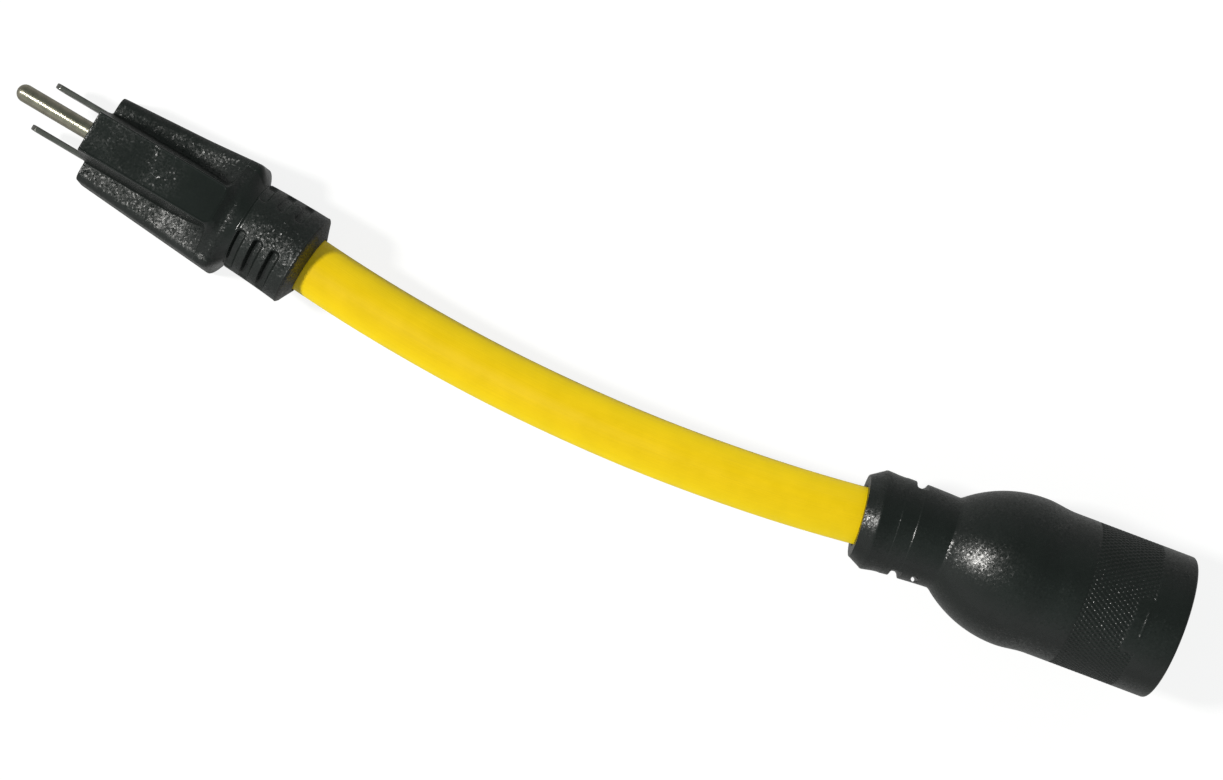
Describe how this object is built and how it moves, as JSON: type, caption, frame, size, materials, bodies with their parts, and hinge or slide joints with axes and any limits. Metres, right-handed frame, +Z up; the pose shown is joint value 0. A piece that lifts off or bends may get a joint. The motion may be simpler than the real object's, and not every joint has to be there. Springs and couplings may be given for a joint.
{
  "type": "dogbone power adapter",
  "caption": "Short moulded power adapter: a household plug with flat blades and a round ground pin, and a round locking female connector, joined by a stout yellow cord.",
  "frame": {"origin": "bottom centre of the bounding box, on the surface the adapter lies on", "axes": "+X from the plug's blades toward the connector's face, +Y to the side away from the cord's bow, +Z up"},
  "size_m": [0.3322, 0.0428, 0.0405],
  "materials": {
    "black_pvc": "satin black PVC with a fine grain",
    "black_hard_plastic": "smooth moulded hard plastic",
    "nickel_plate": "nickel-plated brass, polished",
    "yellow_pvc": "satin yellow PVC",
    "black_insulation": "smooth",
    "white_insulation": "smooth",
    "green_insulation": "smooth",
    "copper": "bare stranded copper",
    "jute": "twisted fibre",
    "brass": "formed sheet brass"
  },
  "bodies": {
    "root": {"plug_overmould": "black_pvc", "plug_bridge": "black_hard_plastic", "blade_hot": "nickel_plate", "blade_neutral": "nickel_plate", "ground_pin": "nickel_plate", "cord_jacket": "yellow_pvc", "insulation_black": "black_insulation", "insulation_white": "white_insulation", "insulation_green": "green_insulation", "conductor_hot": "copper", "conductor_neutral": "copper", "conductor_ground": "copper", "filler_a": "jute", "filler_b": "jute", "filler_c": "jute", "connector_overmould": "black_pvc", "connector_insert": "black_hard_plastic", "insert_cover": "black_hard_plastic", "contact_hot": "brass", "contact_neutral": "brass", "contact_ground": "brass"}
  },
  "joints": []
}
